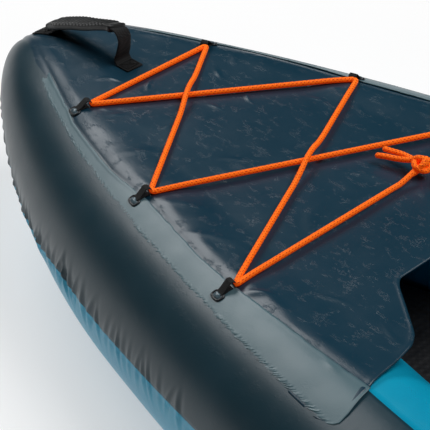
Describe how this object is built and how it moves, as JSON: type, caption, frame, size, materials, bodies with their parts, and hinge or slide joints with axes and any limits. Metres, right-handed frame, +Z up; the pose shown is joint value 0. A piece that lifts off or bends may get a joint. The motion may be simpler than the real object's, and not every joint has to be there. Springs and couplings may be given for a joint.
{
  "type": "inflatable kayak",
  "caption": "Inflatable touring kayak with side tubes, drop-stitch floor, fabric bow and stern decks, bungee deck lacing, carrying handles, valves and folding seats.",
  "frame": {"origin": "on the floor, under the middle of the boat", "axes": "+X towards the stern, +Y to starboard, +Z up"},
  "size_m": [3.8164, 0.9676, 0.5143],
  "materials": {
    "hull_skin": "satin",
    "deck_skin": "satin",
    "floor_skin": "matte",
    "bottom_skin": "matte",
    "webbing": "matte",
    "patch_skin": "satin",
    "shock_cord": "matte",
    "grip_rubber": "matte",
    "valve_plastic": "satin",
    "stem_plastic": "satin",
    "seat_fabric": "matte"
  },
  "bodies": {
    "hull": {"port_tube": "hull_skin", "starboard_tube": "hull_skin", "floor_chamber": "floor_skin", "bottom_panel": "bottom_skin", "wear_strips": "bottom_skin", "bow_deck": "deck_skin", "stern_deck": "deck_skin", "lacing_loops": "webbing", "lacing_patches": "patch_skin", "bow_bungee": "shock_cord", "bungee_knot": "shock_cord", "seat_grip_strips": "webbing", "drain_socket": "valve_plastic", "fin_base": "valve_plastic", "bow_handle_anchors": "webbing", "stern_handle_anchors": "webbing", "port_valve_base": "valve_plastic", "starboard_valve_base": "valve_plastic", "floor_valve_base": "valve_plastic"},
    "bow_handle": {"bow_handle_strap": "webbing", "bow_handle_grip": "grip_rubber"},
    "stern_handle": {"stern_handle_strap": "webbing", "stern_handle_grip": "grip_rubber"},
    "port_cap": {"port_valve_cap": "valve_plastic"},
    "port_stem": {"port_valve_stem": "stem_plastic"},
    "starboard_cap": {"starboard_valve_cap": "valve_plastic"},
    "starboard_stem": {"starboard_valve_stem": "stem_plastic"},
    "floor_cap": {"floor_valve_cap": "valve_plastic"},
    "floor_stem": {"floor_valve_stem": "stem_plastic"},
    "drain_plug": {"drain_plug": "valve_plastic"},
    "front_seat": {"front_seat_base": "seat_fabric", "front_seat_hinge": "webbing"},
    "front_back": {"front_backrest": "seat_fabric", "front_back_straps": "webbing"},
    "rear_seat": {"rear_seat_base": "seat_fabric", "rear_seat_hinge": "webbing"},
    "rear_back": {"rear_backrest": "seat_fabric", "rear_back_straps": "webbing"}
  },
  "joints": [
    {"name": "bow_handle_swing", "type": "hinge", "parent": "hull", "child": "bow_handle", "pos_m": [-1.754, 0, 0.28888], "axis": [0.9965, 0, 0.0837], "range_deg": [-25, 25]},
    {"name": "stern_handle_swing", "type": "hinge", "parent": "hull", "child": "stern_handle", "pos_m": [1.754, 0, 0.28888], "axis": [0.9965, 0, -0.0837], "range_deg": [-25, 25]},
    {"name": "starboard_cap_swing", "type": "hinge", "parent": "hull", "child": "starboard_cap", "pos_m": [0.8493, 0.23566, 0.27418], "axis": [0.1427, 0.8542, 0.5], "range_deg": [0, 110]},
    {"name": "starboard_stem_push", "type": "slide", "parent": "hull", "child": "starboard_stem", "axis": [0.0824, 0.4932, -0.866], "range_m": [0, 0.003], "stiffness_N_per_m": 200},
    {"name": "port_cap_swing", "type": "hinge", "parent": "hull", "child": "port_cap", "pos_m": [0.8493, -0.23566, 0.27418], "axis": [-0.1427, 0.8542, -0.5], "range_deg": [0, 110]},
    {"name": "port_stem_push", "type": "slide", "parent": "hull", "child": "port_stem", "axis": [0.0824, -0.4932, -0.866], "range_m": [0, 0.003], "stiffness_N_per_m": 200},
    {"name": "floor_cap_swing", "type": "hinge", "parent": "hull", "child": "floor_cap", "pos_m": [1.1416, 0, 0.1006], "axis": [0, 1, 0], "range_deg": [0, 110]},
    {"name": "floor_stem_push", "type": "slide", "parent": "hull", "child": "floor_stem", "axis": [0, 0, -1], "range_m": [0, 0.003], "stiffness_N_per_m": 200},
    {"name": "drain_plug_pull", "type": "slide", "parent": "hull", "child": "drain_plug", "axis": [0, 0, 1], "range_m": [0, 0.03]},
    {"name": "front_seat_slide", "type": "slide", "parent": "hull", "child": "front_seat", "axis": [1, 0, 0], "range_m": [-0.1, 0.08]},
    {"name": "front_back_fold", "type": "hinge", "parent": "front_seat", "child": "front_back", "pos_m": [-0.172, 0, 0.1565], "axis": [0, -1, 0], "range_deg": [-10, 95]},
    {"name": "rear_seat_slide", "type": "slide", "parent": "hull", "child": "rear_seat", "axis": [1, 0, 0], "range_m": [-0.1, 0.08]},
    {"name": "rear_back_fold", "type": "hinge", "parent": "rear_seat", "child": "rear_back", "pos_m": [0.588, 0, 0.1565], "axis": [0, -1, 0], "range_deg": [-10, 95]}
  ]
}
